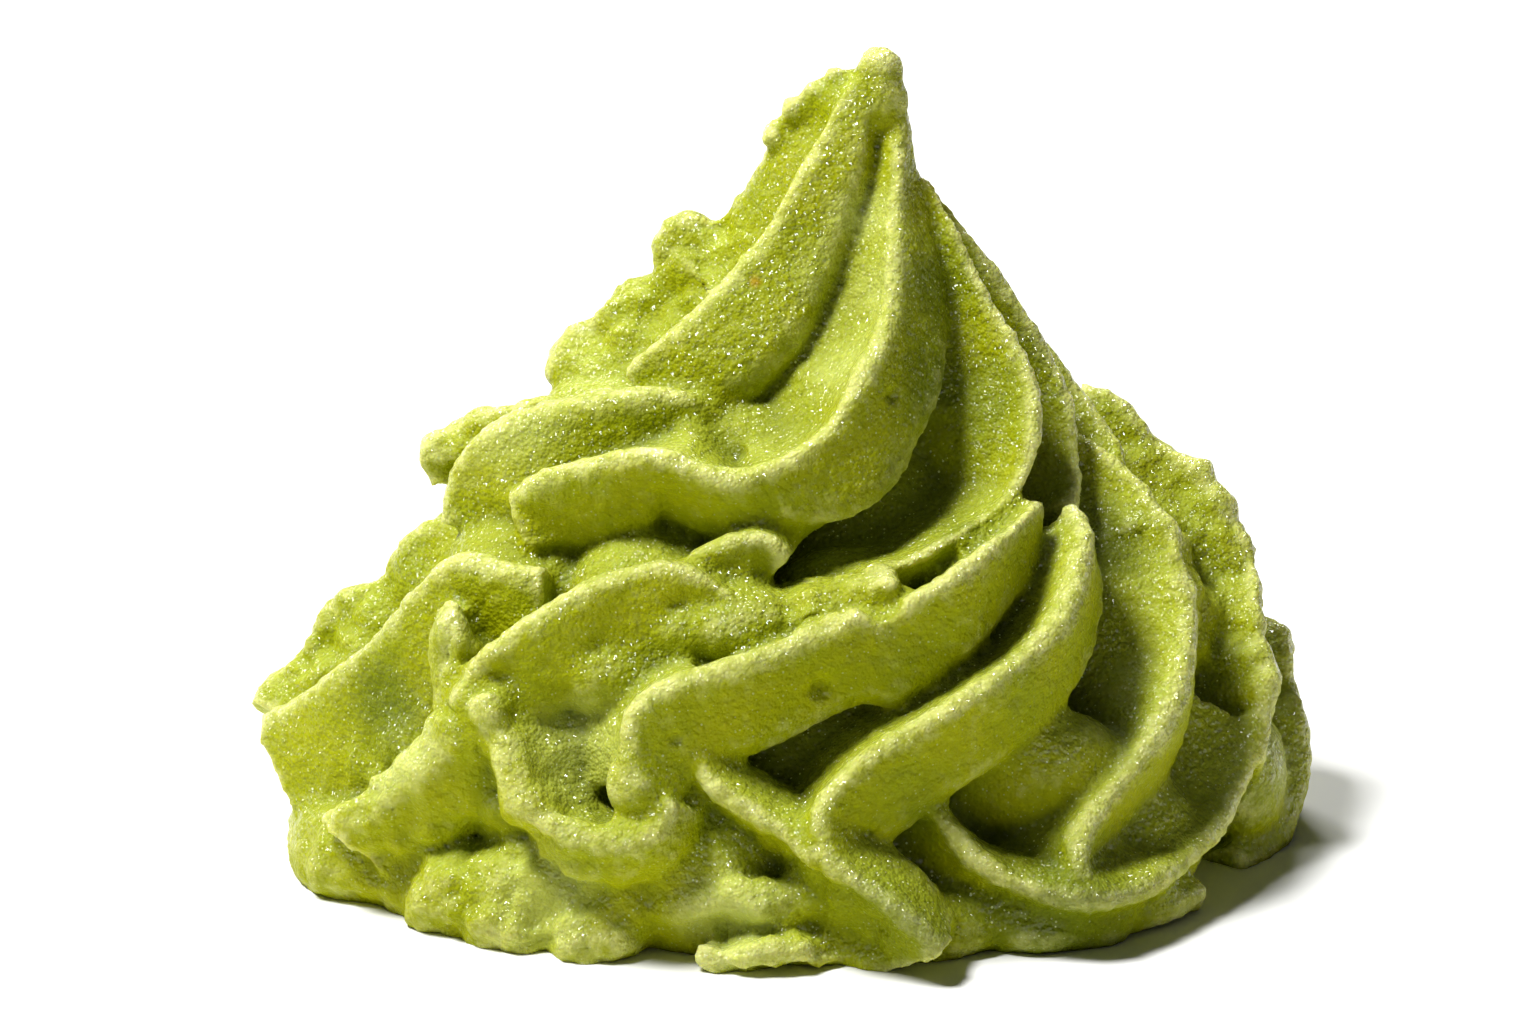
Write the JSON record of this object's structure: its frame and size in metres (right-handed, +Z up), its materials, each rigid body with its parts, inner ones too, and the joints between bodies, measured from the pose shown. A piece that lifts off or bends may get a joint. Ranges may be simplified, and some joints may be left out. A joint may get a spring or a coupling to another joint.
{
  "type": "piped wasabi paste dollop",
  "caption": "Small dollop of green wasabi paste piped through a star nozzle, with winding folds and a leaning tip; a sushi garnish that rests on a plate.",
  "frame": {"origin": "centre of the footprint's box, on the flat face the dollop rests on", "axes": "+Z up from the resting face; +X to the right, the way the tip leans; +Y to the back, away from the side with the curled lip"},
  "size_m": [0.0358, 0.0326, 0.027],
  "materials": {
    "paste": "moist, fine-grained wasabi paste, pale along the crests and darker in the grooves"
  },
  "bodies": {
    "root": {"wasabi_paste": "paste"}
  },
  "joints": []
}
